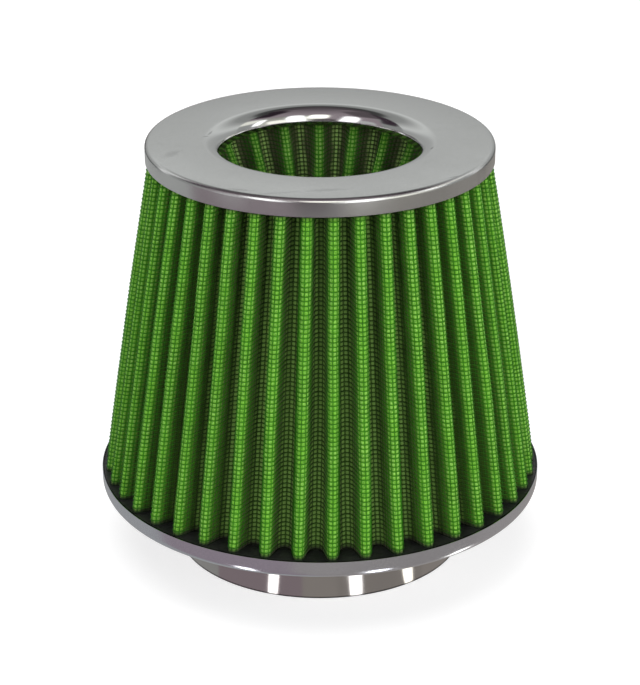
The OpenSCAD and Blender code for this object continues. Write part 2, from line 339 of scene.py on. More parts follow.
def inner_pack(sheet):
    """The folds of the inner cone, whose heads fit inside the outer ones."""
    foot_z, head_z = (corner[2] for corner in box_mm("inner_screen"))
    root_r = outer_pack(sheet).level(head_z)[1] - PACK_GAP
    return Pack(
        (foot_z, INNER_FOOT_TIP_R, INNER_FOOT_ROOT_R, INNER_TURN[0], INNER_VALLEY_R[0]),
        (head_z, root_r - INNER_HEAD_DEPTH, root_r, INNER_TURN[1], INNER_VALLEY_R[1]),
        INNER_PLEATS, INWARD, sheet.uneven / MM, 0, sheet.seed + 1)


# --- Meshes ---


def linked(name, data):
    """A new object in the scene."""
    holder = bpy.data.objects.new(name, data)
    bpy.context.scene.collection.objects.link(holder)
    return holder


def quad_grid(rows, columns, closed_rows, closed_columns):
    """Corner numbers of the quads of a grid of points, row by row."""
    i = np.arange(rows if closed_rows else rows - 1)
    j = np.arange(columns if closed_columns else columns - 1)
    i, j = (a.ravel() for a in np.meshgrid(i, j, indexing="ij"))
    next_i, next_j = (i + 1) % rows, (j + 1) % columns
    return np.column_stack((
        i * columns + j, i * columns + next_j, next_i * columns + next_j, next_i * columns + j))


def repeated(quads, parts, points):
    """The quads of one part, for a number of equal parts with so many points each."""
    return (quads[None] + np.arange(parts)[:, None, None] * points).reshape(-1, 4)


def add_piece(name, points, quads, material, slot, node, sharp_angle=None, sheet_uv=None):
    """Adds a mesh of quads as a piece of the filter: it rides on the body and stands for a CAD node."""
    mesh = bpy.data.meshes.new(name)
    mesh.vertices.add(len(points))
    mesh.vertices.foreach_set("co", (points * MM).astype(np.float32).ravel())
    mesh.loops.add(quads.size)
    mesh.loops.foreach_set("vertex_index", quads.astype(np.int32).ravel())
    mesh.polygons.add(len(quads))
    mesh.polygons.foreach_set("loop_start", np.arange(0, quads.size, 4, dtype=np.int32))
    mesh.polygons.foreach_set("use_smooth", np.ones(len(quads), bool))
    mesh.update(calc_edges=True)
    if sharp_angle is not None:
        mesh.set_sharp_from_angle(angle=math.radians(sharp_angle))
    if sheet_uv is not None:
        mesh.uv_layers.new(name="Sheet").data.foreach_set("uv", sheet_uv.astype(np.float32).ravel())
    mesh.materials.append(material)
    piece = linked(name, mesh)
    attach(piece, BODY)
    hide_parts(node)


def round_wires(pack, heights, wire_r, counts, draw):
    """Wires that run round the folds: one closed, four-sided tube for each height."""
    tubes = []
    for z in heights:
        tube = np.stack([
            pack.outline(z, deep * wire_r, counts) + [0, 0, up * wire_r] for deep, up in TUBE_SIDES])
        turns = np.linspace(0, 2 * math.pi, tube.shape[1], endpoint=False)
        tube[..., 2] += sum(
            draw.uniform(*WAVE_HEIGHTS) * np.sin(turns * draw.integers(*WAVE_COUNTS) + draw.uniform(0, 6))
            for _ in range(3))
        tubes.append(tube)
    sides, count = tube.shape[:2]
    quads = repeated(quad_grid(sides, count, True, True), len(tubes), sides * count)
    if pack.side == INWARD:
        quads = quads[:, ::-1]
    return np.stack(tubes).reshape(-1, 3), quads


def upright_wires(pack, pitch, wire_r, levels):
    """Wires that run from foot to head just behind the round ones, as closed four-sided bars."""
    per_fold = pack.wires_per_fold(pitch)
    bars = []
    for z in np.linspace(pack.foot[0] + UPRIGHT_END_GAP, pack.head[0] - UPRIGHT_END_GAP, levels):
        fold, run = pack.run(z, UPRIGHT_DEPTH * wire_r, FINE_COUNTS)
        stops = (np.arange(per_fold) + 0.5) / per_fold * run[-1]

        def at(s):
            return np.column_stack([np.interp(s, run, axis) for axis in fold.T])

        centre = at(stops)
        along = at(stops + 0.05) - at(stops - 0.05)
        along /= np.hypot(*along.T)[:, None]
        out = np.column_stack((along[:, 1], -along[:, 0]))
        bars.append(np.stack([
            raised(pack.spread(centre + way * wire_r, z), z) for way in (out, along, -out, -along)], 1))
    bars = np.stack(bars, 1)
    ends = np.array([[3, 2, 1, 0], [0, 1, 2, 3]]) + [[0], [4 * (levels - 1)]]
    one = np.concatenate((quad_grid(levels, 4, False, True), ends))
    return bars.reshape(-1, 3), repeated(one, len(bars), 4 * levels)


def folded_sheet(pack, near, far, heights, counts, pitch):
    """Closed sheet between two offsets, with its own flat coordinates in cells of the screen."""
    fronts, backs = (np.stack([pack.outline(z, deep, counts) for z in heights]) for deep in (near, far))
    rows, columns = fronts.shape[:2]
    wall = quad_grid(rows, columns, False, True)
    j = np.arange(columns)
    after = (j + 1) % columns
    total = rows * columns
    foot = np.column_stack((j, total + j, total + after, after))
    head = np.column_stack((j, after, total + after, total + j)) + (rows - 1) * columns
    quads = np.concatenate((wall, wall[:, ::-1] + total, foot, head))
    cells = pack.wires_per_fold(pitch)
    across = []
    for z in heights:
        _, run = pack.run(z, near, counts)
        one = run[:-1] / run[-1] * cells - 0.5
        across.append(np.concatenate([one + cells * fold for fold in range(pack.pleats)]))
    row_heights = pack.heights(pitch)
    up = (np.array(heights) - row_heights[0]) / (row_heights[1] - row_heights[0])
    place = np.column_stack((np.concatenate(across), np.repeat(up, columns)))
    uv = np.concatenate((place, place))[quads]
    is_last = (quads % columns == 0) & ((quads % columns).max(1) == columns - 1)[:, None]
    uv[..., 0][is_last] += cells * pack.pleats
    if pack.side == INWARD:
        quads, uv = quads[:, ::-1], uv[:, ::-1]
    return np.concatenate((fronts.reshape(-1, 3), backs.reshape(-1, 3))), quads, uv


def lathe(profile):
    """A closed section of radius and height, turned round the axis."""
    profile = np.array(profile, float)
    angles = np.linspace(0, 2 * math.pi, LATHE_STEPS, endpoint=False)
    points = np.stack([
        np.column_stack((profile[:, 0] * math.cos(a), profile[:, 0] * math.sin(a), profile[:, 1]))
        for a in angles])
    return points.reshape(-1, 3), quad_grid(LATHE_STEPS, len(profile), True, True)[:, ::-1]


def bend(middle, radius, start, end):
    """Points of a bend in a section, from one angle to another, in degrees."""
    return [
        (middle[0] + radius * math.cos(a), middle[1] + radius * math.sin(a))
        for a in np.radians(np.linspace(start, end, BEND_STEPS))]


def cap_section():
    """Rim, edge, face and curled lip: up the outside, then back along the inside."""
    edge = (CAP_R - CAP_EDGE_R, TOP_Z - CAP_EDGE_R)
    lip = (MOUTH_R + LIP_R, TOP_Z - LIP_R)
    middle_r = (CAP_R + MOUTH_R + LIP_R) / 2
    return (
        [(CAP_R, RIM_Z)] + bend(edge, CAP_EDGE_R, 0, 90) + [(middle_r, TOP_Z)]
        + bend(lip, LIP_R, 90, 180) + [(MOUTH_R, RIM_Z), (MOUTH_R + STEEL, RIM_Z)]
        + bend(lip, LIP_R - STEEL, 180, 90) + [(middle_r, TOP_Z - STEEL)]
        + bend(edge, CAP_EDGE_R - STEEL, 90, 0) + [(CAP_R - STEEL, RIM_Z)])


def pan_section():
    """Neck, pan floor and band: up the outside, then back down the inside."""
    corner = (PAN_R - PAN_CORNER_R, PAN_FLOOR_Z + PAN_CORNER_R)
    root = (NECK_R + NECK_BEND_R, PAN_FLOOR_Z - NECK_BEND_R)
    return (
        [(NECK_R, 0)] + bend(root, NECK_BEND_R, 180, 90) + bend(corner, PAN_CORNER_R, 270, 360)
        + [(PAN_R, BRIM_Z), (PAN_R - STEEL, BRIM_Z)] + bend(corner, PAN_CORNER_R - STEEL, 360, 270)
        + bend(root, NECK_BEND_R + STEEL, 90, 180) + [(NECK_R - STEEL, 0)])


def add_screen(sheet, pack, name, end_shade, seed_step, rows, counts, levels):
    """A front screen of separate wires: the round ones shared out among rows, then the upright ones."""
    pitch, wire_r = sheet.wire_pitch / MM, sheet.wire_diameter / MM / 2
    draw = np.random.default_rng(sheet.seed + seed_step)
    finish = (wire_material(sheet, pack, name, end_shade), "front_screen", f"{name}_screen")
    for part, heights in zip(rows, np.array_split(pack.heights(pitch), len(rows))):
        add_piece(f"{name}_screen_{part}", *round_wires(pack, heights, wire_r, counts, draw), *finish)
    add_piece(f"{name}_screen_uprights", *upright_wires(pack, pitch, wire_r, levels), *finish)


def add_folds(sheet, pack, node, near, far, rows, counts, material, slot):
    """A folded sheet that stands for a CAD node, between two depths behind the front surface."""
    heights = np.linspace(pack.foot[0], pack.head[0], rows)
    points, quads, uv = folded_sheet(pack, near, far, heights, counts, sheet.wire_pitch / MM)
    add_piece(f"{node}_folds", points, quads, material, slot, node, SHEET_SHARP, uv)


# --- Node trees ---


class Wiring:
    """Short ways to add and join the nodes of one tree."""

    def __init__(self, tree):
        self.tree = tree

    def feed(self, socket, value):
        """Joins an output to a socket, or sets the socket's own value. A colour is three numbers."""
        if isinstance(value, bpy.types.NodeSocket):
            self.tree.links.new(value, socket)
        else:
            socket.default_value = (*value, 1.0) if socket.type == "RGBA" else value

    def add(self, kind, inputs=None, **settings):
        node = self.tree.nodes.new(kind)
        for name, value in settings.items():
            setattr(node, name, value)
        for name, value in (inputs or {}).items():
            self.feed(node.inputs[name], value)
        return node

    def out(self, kind, inputs=None, **settings):
        """The first output of a new node."""
        return self.add(kind, inputs, **settings).outputs[0]

    def calc(self, operation, *values):
        return self.out("ShaderNodeMath", dict(enumerate(values)), operation=operation)

    plus = partialmethod(calc, "ADD")
    minus = partialmethod(calc, "SUBTRACT")
    times = partialmethod(calc, "MULTIPLY")
    over = partialmethod(calc, "DIVIDE")
    larger = partialmethod(calc, "MAXIMUM")
    line = partialmethod(calc, "MULTIPLY_ADD")

    def length(self, x, y):
        return self.calc("SQRT", self.plus(self.times(x, x), self.times(y, y)))

    def scaled(self, place, factor):
        return self.out("ShaderNodeVectorMath", {0: place, "Scale": factor}, operation="SCALE")

    def moved(self, operation, place, by):
        return self.out("ShaderNodeVectorMath", {0: place, 1: by}, operation=operation)

    def remap(self, value, low, high, to_low=0.0, to_high=1.0):
        """Eases from one level to another while a value goes from low to high."""
        return self.out("ShaderNodeMapRange", {
            "Value": value, "From Min": low, "From Max": high, "To Min": to_low, "To Max": to_high},
            interpolation_type="SMOOTHSTEP")

    def mix(self, share, a, b):
        return self.add("ShaderNodeMix", {0: share, 6: a, 7: b}, data_type="RGBA").outputs[2]

    def noise(self, vector, scale, detail=2.0):
        node = self.add("ShaderNodeTexNoise", {"Vector": vector, "Scale": scale, "Detail": detail})
        return node.outputs["Fac"]

    def split(self, vector):
        return self.add("ShaderNodeSeparateXYZ", {0: vector}).outputs

    def group(self, name, wire, outputs, place, values):
        """Places a node group. Its first use builds it: wire joins the nodes and gives the outputs."""
        if name not in bpy.data.node_groups:
            tree = bpy.data.node_groups.new(name, "ShaderNodeTree")
            tree.interface.new_socket("Place", in_out="INPUT", socket_type="NodeSocketVector")
            for label, default in values.items():
                socket = tree.interface.new_socket(label, in_out="INPUT", socket_type="NodeSocketFloat")
                socket.default_value = default
            for label in outputs:
                tree.interface.new_socket(label, in_out="OUTPUT", socket_type="NodeSocketFloat")
            inside = Wiring(tree)
            given = inside.add("NodeGroupInput").outputs
            results = wire(inside, *(given[label] for label in ("Place", *values)))
            inside.add("NodeGroupOutput", dict(zip(outputs, results)))
        return self.add("ShaderNodeGroup", {"Place": place, **values},
                        node_tree=bpy.data.node_groups[name]).outputs

    def hump(self, value):
        """Nought at each whole number and one half-way between."""
        part = self.calc("FRACT", value)
        return self.times(self.times(part, self.minus(1.0, part)), 4.0)

    def place_mm(self):
        """Place on the object, in millimetres."""
        return self.scaled(self.add("ShaderNodeTexCoord").outputs["Object"], 1 / MM)

    def radius(self, place):
        """Distance from the filter's axis."""
        x, y, _ = self.split(place)
        return self.length(x, y)

    def sheet_cells(self):
        """Place on the flat sheet before it was folded, in cells of the screen."""
        return self.out("ShaderNodeUVMap", uv_map="Sheet")

    def bump(self, height, strength, distance_mm):
        return self.out("ShaderNodeBump", {
            "Height": height, "Strength": strength, "Distance": distance_mm * MM})


# Wire where the green coat is thin, and dust in the valleys
BARE_WIRE = (0.08, 0.128, 0.038)
VALLEY_DUST = (0.34, 0.32, 0.20)

# Black for painted shade, the depth that a pack's end stands in the potting resin, and how far the painted
# shade reaches along each pack from its ends
SHADE_BLACK = (0.012, 0.012, 0.012)
EMBED = 1.6
OUTER_END_SHADE = 2.6
INNER_END_SHADE = 4.0


class GauzeLook(NamedTuple):
    """How dusty the gauze of one pack is, and the light and shade painted along its folds."""

    tip_reach: float     # share of the fold's depth that keeps the tip's tone before the painted shade of the flanks
    tip_dust: float
    flank_dust: float
    # level of the painted shade on the flanks
    flank_level: float
    valley_width: float  # cells on each side of the valley's middle
    # painted level of light and shade in the valleys
    valley_level: float
    valley_dust: float
    end_shade: float           # millimetres along the sheet from each end that the painted shade reaches


OUTER_LOOK = GauzeLook(0.36, 0.0, 0.1, 0.215, 1.6, 0.7, 0.42, OUTER_END_SHADE)
INNER_LOOK = GauzeLook(0.30, 0.1, 0.8, 0.36, 0.6, 1.4, 0.5, INNER_END_SHADE)

# Faint marks on the cap's face: x, y, turn in degrees, half length, half width, depth
CAP_SCUFFS = (
    (-48.0, -15.0, 60, 5.5, 2.6, 0.5), (-36.6, 6.5, 75, 3.2, 0.5, 0.9), (-38.0, 2.5, 40, 1.6, 0.5, 0.8),
    (36.6, -9.3, 70, 1.8, 0.6, 0.9), (42.0, -37.4, 30, 2.2, 0.5, 0.8), (2.0, -49.4, 8, 9.0, 1.8, 0.45),
    (-25.8, -49.0, -12, 6.0, 1.4, 0.4), (-13.0, -52.0, 10, 12.0, 1.2, 0.25))


def grain(w, place, patch_size=12.0, speck_size=0.6):
    """Two sizes of soft grain, for tone and for fine height."""

    def wire(w, place, patch_size, speck_size):
        patches = w.noise(place, w.over(1.0, patch_size), 3.0)
        return w.remap(patches, 0.3, 0.7), w.noise(place, w.over(1.0, speck_size))

    return w.group("Filter grain", wire, ("Patches", "Specks"), place,
                   {"Patch size": patch_size, "Speck size": speck_size})


def rub(w, place, mark_size=18.0):
    """Faint rub marks and hairline scratches of handled plating."""

    def wire(w, place, mark_size):
        def streaks(factors, scale, detail):
            return w.noise(w.moved("MULTIPLY", place, factors), scale, detail)

        scale = w.over(1.0, mark_size)
        marks = w.times(w.remap(w.noise(place, scale, 4.0), 0.5, 0.72),
                        w.remap(streaks((0.6, 4.0, 1.5), w.times(scale, 1.6), 5.0), 0.35, 0.7))
        hairlines = w.larger(w.remap(streaks((6.0, 0.35, 1.0), 1.1, 1.0), 0.66, 0.74),
                             w.remap(streaks((0.5, 5.0, 1.0), 0.9, 1.0), 0.68, 0.76))
        return marks, hairlines

    return w.group("Filter rub marks", wire, ("Marks", "Hairlines"), place, {"Mark size": mark_size})


def fold_depth(w, place, pack):
    """How deep in its fold a place is: nought at the tips and one at the valleys."""

    def wire(w, place, foot_height, head_height, *radii):
        height = w.split(place)[2]
        tip, valley = (
            w.out("ShaderNodeMapRange", {
                "Value": height, "From Min": foot_height, "From Max": head_height,
                "To Min": foot, "To Max": head})
            for foot, head in (radii[:2], radii[2:]))
        return [w.over(w.minus(w.radius(place), tip), w.minus(valley, tip))]

    values = {
        f"{end} {part}": line[column] for column, part in enumerate(("height", "tip", "valley"))
        for end, line in (("Foot", pack.foot), ("Head", pack.head))}
    return w.group("Filter fold depth", wire, ("Depth",), place, values)["Depth"]


def net(w, flat, pitch, thread):
    """A plain weave of round threads over the flat sheet."""

    def wire(w, place, pitch, thread):
        x, y, _ = w.split(w.scaled(place, w.over(1.0, pitch)))
        share = w.over(thread, pitch)

        def threads(across, along):
            away = w.calc("ABSOLUTE", w.minus(w.calc("FRACT", across), 0.5))
            part = w.over(away, share)
            round_top = w.minus(1.0, w.times(part, part))
            rising = w.calc("COSINE", w.times(math.pi, w.plus(along, w.calc("FLOOR", across))))
            return w.remap(part, 1.0, 0.8), w.times(w.larger(round_top, 0.0), w.line(rising, 0.25, 0.75))

        return map(w.larger, threads(x, y), threads(y, w.plus(x, 1.0)))

    return w.group("Filter net", wire, ("Mask", "Height"), flat, {"Pitch": pitch, "Thread": thread})


class Finish(Wiring):
    """A new material with a Principled surface, whose constant values are set on its own sockets."""

    def __init__(self, name, constants):
        self.material = bpy.data.materials.new(name)
        self.material.use_nodes = True
        super().__init__(self.material.node_tree)
        self.done(constants)

    def done(self, values):
        """Feeds the surface and gives back the material."""
        for label, value in values.items():
            self.feed(self.tree.nodes["Principled BSDF"].inputs[label], value)
        return self.material


def plated_material(name, colour, polished_colour, metal, satin_rough, polished_zone, scuffs=(),
                    painted_shade_zone=None):
    """Plated steel, satin in general and polished where polished_zone says so, with black painted shade in
    an optional zone.
    """
    w = Finish(name, {"Metallic": 1.0})
    place = w.place_mm()
    patches, specks = grain(w, place, 22.0, 0.45)
    marks = rub(w, place)["Marks"]
    polished = polished_zone(w, place)
    dull = w.times(marks, 0.08)
    for mark in scuffs:
        dull = w.larger(dull, scuff(w, place, specks, *mark))
    worn = tuple(c * 0.6 for c in colour)
    tone = w.mix(dull, w.mix(polished, colour, polished_colour), worn)
    speck = w.remap(specks, 0.35, 0.65, 0.0, 0.16)
    tone = w.mix(w.times(speck, w.minus(1.0, polished)), tone, worn)
    # Black painted shade where the zone says so
    if painted_shade_zone is not None:
        tone = w.mix(painted_shade_zone(w, place), tone, SHADE_BLACK)
    satin = w.plus(w.line(patches, 0.05, satin_rough - 0.02), w.times(marks, 0.04))
    bright = w.line(marks, 0.07, metal.polish)
    fine = w.times(specks, w.remap(polished, 0.0, 1.0, 0.7, 0.04))
    return w.done({
        "Base Color": tone,
        "Roughness": w.out("ShaderNodeMix", {0: polished, 2: satin, 3: bright}, data_type="FLOAT"),
        "Normal": w.bump(fine, 0.3, 0.02)})


def scuff(w, place, specks, x, y, turn, length, width, depth):
    """A faint scuff: a ragged ellipse on the cap's face, at a place in millimetres."""
    c, s = math.cos(math.radians(turn)), math.sin(math.radians(turn))
    px, py, _ = w.split(w.moved("SUBTRACT", place, (x, y, 0)))
    along = w.plus(w.times(px, c / length), w.times(py, s / length))
    across = w.plus(w.times(px, -s / width), w.times(py, c / width))
    ragged = w.plus(w.length(along, across), w.line(specks, -1.4, 0.7))
    return w.remap(ragged, 1.0, 0.2, 0.0, depth)


def cap_material(metal):
    """Satin plating with a polished lip and a few scuffs."""

    def lip(w, place):
        return w.remap(w.radius(place), MOUTH_R + LIP_R + 0.8, MOUTH_R + LIP_R - 0.9)

    return plated_material("Filter cap plating", metal.cap_colour, metal.cap_colour, metal, metal.satin,
                           lip, CAP_SCUFFS)


def pan_material(metal):
    """Plating that is satin on the band and polished on the neck."""

    def neck(w, place):
        return w.remap(w.split(place)[2], PAN_FLOOR_Z, PAN_FLOOR_Z - 1.2)

    def painted_shade(w, place):
        """Painted shade in black: on the wall inside the brim above the resin, over the gauze's reflection
        there, and as a contact shadow along the neck's lower edge.
        """
        height = w.split(place)[2]
        inside = w.times(w.remap(w.radius(place), PAN_R - 0.05, PAN_R - 0.2),
                         w.remap(height, BRIM_Z - 2.0, BRIM_Z - 1.5))
        return w.larger(inside, w.remap(height, 0.7, 0.2, 0.0, 0.9))

    return plated_material("Filter pan plating", metal.pan_colour, metal.neck_colour, metal,
                           metal.band_satin, neck, painted_shade_zone=painted_shade)


def painted_end_shade(w, place, pack, end_shade):
    """Painted shade along the sheet from its two ends, where the cap and the pan shade it, over a length in
    millimetres.
    """
    height = w.split(place)[2]
    foot, head = pack.foot[0] + EMBED, pack.head[0] - EMBED
    return w.larger(
        w.remap(height, head - end_shade, head, 0.0, 0.95), w.remap(height, foot + end_shade, foot, 0.0, 0.95))


def wire_material(sheet, pack, name, end_shade):
    """Green coated wire, worn to bare metal towards the valleys, with black painted shade next to the
    potting.
    """
    w = Finish(f"Filter {name} wire", {"Specular IOR Level": 0.18})
    place = w.place_mm()
    patches, specks = grain(w, place, 7.0, 0.9)
    light = tuple(min(c * 1.8, 1) for c in sheet.wire_colour)
    green = w.mix(w.times(patches, specks), sheet.wire_colour, light)
    bare = w.remap(fold_depth(w, place, pack), 0.25, 0.7, 0.0, 0.8)
    tone = w.mix(bare, green, BARE_WIRE)
    return w.done({
        # Black painted shade near the pack's ends
        "Base Color": w.mix(painted_end_shade(w, place, pack, end_shade), tone, SHADE_BLACK), "Metallic": bare,
        "Roughness": w.line(specks, 0.3, 0.35), "Normal": w.bump(specks, 0.4, 0.05)})


def from_valley(w, across, pack, cells):
    """Distance along the sheet from the middle of the nearest valley, in cells."""
    fold = w.calc("FRACT", w.minus(w.over(w.plus(across, 0.5), cells), pack.tip_share()))
    return w.times(w.calc("ABSOLUTE", w.minus(fold, 0.5)), cells)


def gauze_material(sheet, pack, name, look):
    """Green pillows between the wires at the tips, with painted shade down the flanks and dusty cells at a
    painted level of light in the valleys.
    """
    w = Finish(f"Filter {name} oiled gauze", {
        "Sheen Weight": 0.15, "Sheen Roughness": 0.6, "Sheen Tint": (1, 0.88, 0.6),
        "Specular IOR Level": 0.18})
    flat, place = w.sheet_cells(), w.place_mm()
    weave = net(w, flat, 0.36, 0.15)["Height"]
    patches, specks = grain(w, place, 9.0, 0.7)
    x, y, _ = w.split(flat)
    pillow = w.times(w.hump(x), w.hump(y))

    def dusty(colour, share):
        return (1 - share) * colour + share * np.array(VALLEY_DUST)

    base = dusty(np.array(sheet.gauze_colour), look.tip_dust)
    deep = base * (0.25, 0.42, 0.3)
    painted_highlight = np.minimum(base * (1.5, 1.12, 1.5) + (0.10, 0.05, 0.12), 1)
    # Painted shade on the flanks, darker still between their pillows, and a painted level of light in the
    # valleys, each mixed with dust
    flank = dusty(base, look.flank_dust) * look.flank_level
    flank_wire_shade = flank * 0.35
    valley = dusty(base, look.valley_dust) * look.valley_level
    # Painted highlight on the middle of each pillow, varied by patches
    tone = w.mix(w.times(w.remap(pillow, 0.35, 0.9), w.line(patches, 0.6, 0.4)), base, painted_highlight)
    tone = w.mix(w.remap(specks, 0.62, 0.36, 0.0, 0.55), tone, deep)
    tone = w.mix(w.remap(weave, 0.15, 0.7, 0.3, 0.0), tone, deep)
    # Painted shade round the edge of each pillow next to the wires, partly dirt there
    tone = w.mix(w.remap(pillow, 0.05, 0.6, 0.8, 0.0), tone, deep)
    away = from_valley(w, x, pack, pack.wires_per_fold(sheet.wire_pitch / MM))
    ragged = w.line(patches, 0.8, away)
    floor = w.mix(w.remap(ragged, look.valley_width + 1.4, look.valley_width), flank, valley)
    dim = w.mix(w.remap(pillow, 0.15, 0.75), flank_wire_shade, floor)
    # Deeper in the fold, the painted shade and the valley's painted level take over from the tip's tone
    tone = w.mix(w.remap(fold_depth(w, place, pack), 0.08, look.tip_reach), tone, dim)
    threads = w.times(w.plus(weave, specks), 0.3)
    return w.done({
        # Black painted shade near the pack's ends
        "Base Color": w.mix(painted_end_shade(w, place, pack, look.end_shade), tone, SHADE_BLACK),
        "Roughness": w.line(specks, 0.25, 0.5), "Normal": w.bump(w.plus(pillow, threads), 0.8, 0.3)})


def back_screen_material(sheet):
    """Bare wires drawn over the dim back of the gauze."""
    w = Finish("Filter back screen", {})
    mask, height = net(w, w.sheet_cells(), 1.0, sheet.wire_diameter / sheet.wire_pitch / 2)
    patches, specks = grain(w, w.place_mm())
    wire = w.mix(patches, (0.42, 0.44, 0.40), (0.55, 0.57, 0.54))
    gauze = w.mix(specks, [c * 0.35 for c in sheet.gauze_colour], [c * 0.8 for c in sheet.gauze_colour])
    return w.done({
        "Base Color": w.mix(mask, gauze, wire), "Metallic": w.times(mask, 0.9),
        "Roughness": w.remap(mask, 0, 1, 0.75, 0.38), "Normal": w.bump(height, 1.0, 0.28)})


def resin_material():
    """Black potting, slightly glossy, with a soft uneven surface."""
    w = Finish("Filter potting resin", {"Coat Weight": 0.15})
    patches, specks = grain(w, w.place_mm(), 5.0, 1.1)
    return w.done({
        "Base Color": w.mix(patches, (0.008, 0.008, 0.009), (0.018, 0.019, 0.018)),
        "Roughness": w.line(specks, 0.35, 0.22), "Normal": w.bump(patches, 0.5, 0.4)})


def strip_material():
    """Plain metal strip with rub marks and hairlines."""
    w = Finish("Filter bare strip", {"Metallic": 1.0})
    place = w.place_mm()
    marks, hairlines = rub(w, place, 6.0)
    return w.done({
        "Base Color": w.mix(marks, (0.62, 0.62, 0.61), (0.42, 0.44, 0.40)),
        "Roughness": w.line(grain(w, place)["Patches"], 0.2, 0.32), "Normal": w.bump(hairlines, 0.3, 0.03)})


def dress(material, *nodes):
    """Gives CAD nodes that stay as they are a material."""
    for name in nodes:
        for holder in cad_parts[name].material_slots:
            holder.material = material


# --- Stage: sizes and places in metres ---

# Lamps: directions from the front towards the right of the picture, in degrees, and shares of the power
WINDOW_LAMPS = ((-28, 0.85), (26, 1.0), (66, 1.0))
FILL_LAMPS = (145, 215)
LAMP_AWAY, LAMP_HEIGHT = 2.0, 0.62
WINDOW_SIZE, FILL_SIZE, OVERHEAD_SIZE = (0.36, 0.95), (0.6, 0.95), (1.6, 1.6)
OVERHEAD_PLACE = (-0.2, -0.1, 1.9)
LAMP_TARGET = (0, 0, 0.08)

FLOOR_REACH = 6.0
FLOOR_DROP = 1e-4
FLOOR_TONE = (0.5, 0.5, 0.5)
FLOOR_GLOW = 0.68

# Camera: fitted to the circles of the cap and the pan in a picture of this height
FOCAL_PIXELS, PICTURE_PIXELS = 2288.1, 685
SENSOR = 36.0
CAMERA_AWAY, CAMERA_ABOVE_CAP, CAMERA_DOWN = 0.7195, 0.2435, 23.782

WHITE = (1, 1, 1)
VIOLET, DEEP_VIOLET, LILAC = (1.0, 0.84, 0.92), (1.0, 0.66, 0.94), (1.0, 0.93, 0.99)
WARM, CREAM, PLAIN = (1.0, 0.94, 0.88), (1.0, 0.99, 0.9), (0.98, 1.0, 0.985)

# Middle of all cards, and their distances from it
CARD_MIDDLE = (0, 0, 0.1)
FAR, BEHIND, PATCH_FIRST, PATCH_GAP, NEAR, LOW = 3.0, 0.34, 2.7, 0.02, 0.33, 0.1437

# Degrees between a card's points, width of a patch's soft edge, and how far its card goes past it
CARD_STEP, LOW_STEP = 1.5, 0.3
PATCH_EDGE, LOW_EDGE = 0.45, 0.15
PATCH_REACH = 1.25

# Bands: azimuths, (elevation, level) stops, colour, distance
BANDS = {
    "front_left": ((-78, -5), ((-8, 0.36), (42, 0.36)), VIOLET, FAR),
    "front_right": ((-5, 78), ((-8, 0.75), (20, 0.6), (42, 0.36)), CREAM, FAR),
    "side_left": ((-112, -78), ((-8, 0.36), (42, 0.32)), PLAIN, FAR),
    "side_right": ((78, 112), ((-8, 0.37), (42, 0.42)), PLAIN, FAR),
    "high_front": ((-112, 112), ((42, 0.36), (52, 0.36), (60, 0.31), (71, 0.26), (80, 0.19), (90, 0.15)),
                   VIOLET, FAR),
    "high_behind": ((112, 248), ((42, 0.5), (60, 0.14), (66, 0.1), (75, 0.09), (90, 0.15)), VIOLET, FAR),
    "behind": ((115, 245), ((-8, 0.03), (-2, 0.12), (5, 0.33), (12, 0.44), (18, 0.46), (23, 0.50),
                            (28, 0.68), (32, 0.78), (37, 0.68), (43, 0.50), (48, 0.36), (54, 0.36),
                            (57, 0.30), (60, 0.08), (66, 0.05)), PLAIN, BEHIND),
    "table_far": ((-14, 14), ((-21, 0.235), (-8, 0.235)), LILAC, FAR),
    "table_near": ((-14, 14), ((-90, 0.33), (-21, 0.33)), WARM, FAR),
    "table_left": ((-90, -14), ((-90, 0.27), (-8, 0.30)), VIOLET, FAR),
    "table_right": ((14, 90), ((-90, 0.30), (-8, 0.30)), WARM, FAR),
    "table_back_right": ((90, 180), ((-90, 0.34), (-8, 0.34)), WARM, FAR),
    "table_back_left": ((180, 270), ((-90, 0.36), (-27, 0.36), (-21, 0.48), (-8, 0.48)), PLAIN, FAR),
}

# Soft patches, the later ones in front: middle azimuth and elevation, half widths, lean, colour, level
PATCHES = {
    "window_right": (78, 24, 6.5, 12, -0.25, WHITE, 2.2),
    "window_right_small": (97, 33, 15, 7, -0.6, CREAM, 1.1),
    "window_middle_right": (29, 18, 12, 26, 0.1, WHITE, 2.5),
    "glow_right": (52, 13, 13, 11, 0.2, CREAM, 1.5),
    "window_middle": (2, 34, 13, 13, -0.2, CREAM, 2.3),
    "window_left": (-36, 20, 11, 21, -0.3, WHITE, 2.3),
    "glow_left": (-58, 4, 11, 18, 0.0, WHITE, 0.6),
    "ceiling_left": (-80, 58, 34, 14, 0.0, VIOLET, 0.12),
    "curtain_right": (98, 60, 27, 13, 0.0, DEEP_VIOLET, 0.03),
    "curtain_left": (-100, 42, 14, 19, -0.5, DEEP_VIOLET, 0.05),
    "stand": (-5, 1, 14, 17, 0.0, VIOLET, 0.13),
}

# A dim corner close behind, mirrored at the right end of the lip
NEAR_PATCHES = {"corner_right": (-156, 2, 13, 7, 0.0, VIOLET, 0.08)}

# Windows mirrored low on the neck and in the pan's corner, close to the filter
LOW_WINDOWS = {
    "low_left": (-26.5, -51.5, 3.0, 5.2, 0.0, WHITE, 3.2),
    "low_middle": (20.2, -51.5, 3.7, 5.2, 0.0, WHITE, 3.2),
    "low_right": (53.5, -51.5, 3.6, 5.2, 0.0, CREAM, 3.2),
}


def stage_material(name):
    """A material for the stage without its Principled surface, and the socket for its own shader."""
    w = Finish(name, {})
    nodes = w.tree.nodes
    nodes.remove(nodes["Principled BSDF"])
    return w, nodes["Material Output"].inputs["Surface"]


